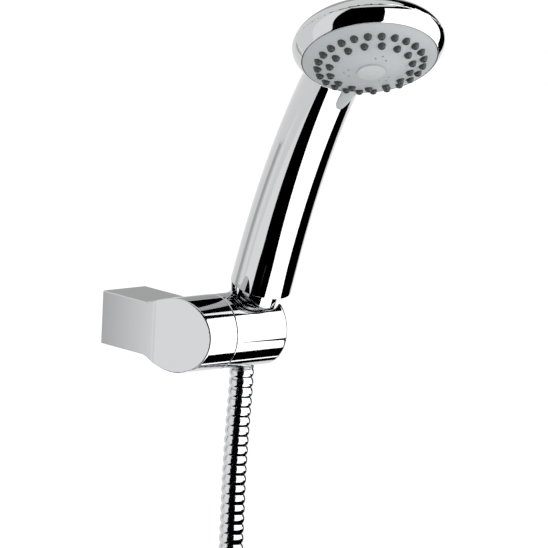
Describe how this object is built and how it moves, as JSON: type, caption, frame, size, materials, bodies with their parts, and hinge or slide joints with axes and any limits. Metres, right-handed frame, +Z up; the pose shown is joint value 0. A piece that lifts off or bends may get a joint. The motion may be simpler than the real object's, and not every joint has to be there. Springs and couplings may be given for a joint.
{
  "type": "handheld shower head",
  "caption": "Chrome handheld shower head with a selector face, held by its hose nut in a turning cone holder on a square wall bracket, with a ribbed metal hose.",
  "frame": {"origin": "centre of the bracket's wall face", "axes": "+Y into the wall, -Y to the room, +Z up, +X along the bracket's arm"},
  "size_m": [0.1837, 0.2158, 0.6009],
  "materials": {
    "chrome_zinc": "polished chrome plate on cast zinc",
    "chrome_plastic": "polished chrome plate on moulded plastic",
    "chrome_brass": "polished chrome plate on turned brass",
    "hose_metal": "ribbed chrome-plated hose",
    "steel": "plain stainless steel",
    "brass": "turned brass",
    "face_grey": "satin light-grey plastic",
    "lever_grey": "satin light-grey plastic",
    "nozzle_rubber": "dark grey silicone",
    "seal_rubber": "black rubber",
    "inner_plastic": "moulded plastic",
    "dark_plastic": "moulded plastic",
    "strap_black": "woven strap"
  },
  "bodies": {
    "bracket": {"bracket_body": "chrome_zinc", "wall_plate": "steel", "grub_screw": "steel", "pivot_insert": "brass", "pivot_screw": "steel", "friction_washer": "inner_plastic", "hose_tube": "hose_metal", "hose_coil": "hose_metal", "coil_tie": "strap_black", "hose_tail": "hose_metal", "hose_end_ferrule": "brass"},
    "holder": {"holder_drum": "chrome_zinc", "spring_washer": "steel"},
    "hose_top": {"hose_top_ferrule": "brass"},
    "handset": {"hose_cone_nut": "chrome_brass", "hose_top_seal": "seal_rubber", "inlet_spigot": "dark_plastic", "flow_restrictor": "inner_plastic", "handle_shell": "chrome_plastic", "water_tube": "inner_plastic", "head_shell": "chrome_plastic", "head_ring": "chrome_plastic", "chamber_plate": "dark_plastic", "chamber_seal": "seal_rubber", "centre_screw": "steel", "detent_ball": "steel", "detent_spring": "steel"},
    "selector": {"face_plate": "face_grey", "centre_cap": "lever_grey", "outer_nozzles": "nozzle_rubber", "inner_nozzles": "nozzle_rubber", "diverter_disc": "inner_plastic", "selector_lever": "lever_grey"},
    "hose_end": {"hose_end_nut": "chrome_brass", "hose_end_seal": "seal_rubber"}
  },
  "joints": [
    {"name": "holder_swivel", "type": "hinge", "parent": "bracket", "child": "holder", "pos_m": [0.036, -0.059, -0.001], "axis": [1, 0, 0], "range_deg": [-30, 45], "deforming": ["hose_tube"]},
    {"name": "handset_lift", "type": "slide", "parent": "holder", "child": "hose_top", "axis": [0, -0.309, 0.9511], "range_m": [0, 0.045]},
    {"name": "handset_turn", "type": "hinge", "parent": "hose_top", "child": "handset", "pos_m": [0.0432, -0.059, -0.001], "axis": [0, -0.309, 0.9511], "continuous": true},
    {"name": "spray_selector", "type": "hinge", "parent": "handset", "child": "selector", "pos_m": [0.01607, -0.1844, 0.17402], "axis": [-0.3223, -0.5681, -0.7572], "range_deg": [-25, 25]},
    {"name": "end_nut_spin", "type": "hinge", "parent": "bracket", "child": "hose_end", "pos_m": [0.0012, -0.085, -0.38], "axis": [0, 0, 1], "continuous": true}
  ]
}
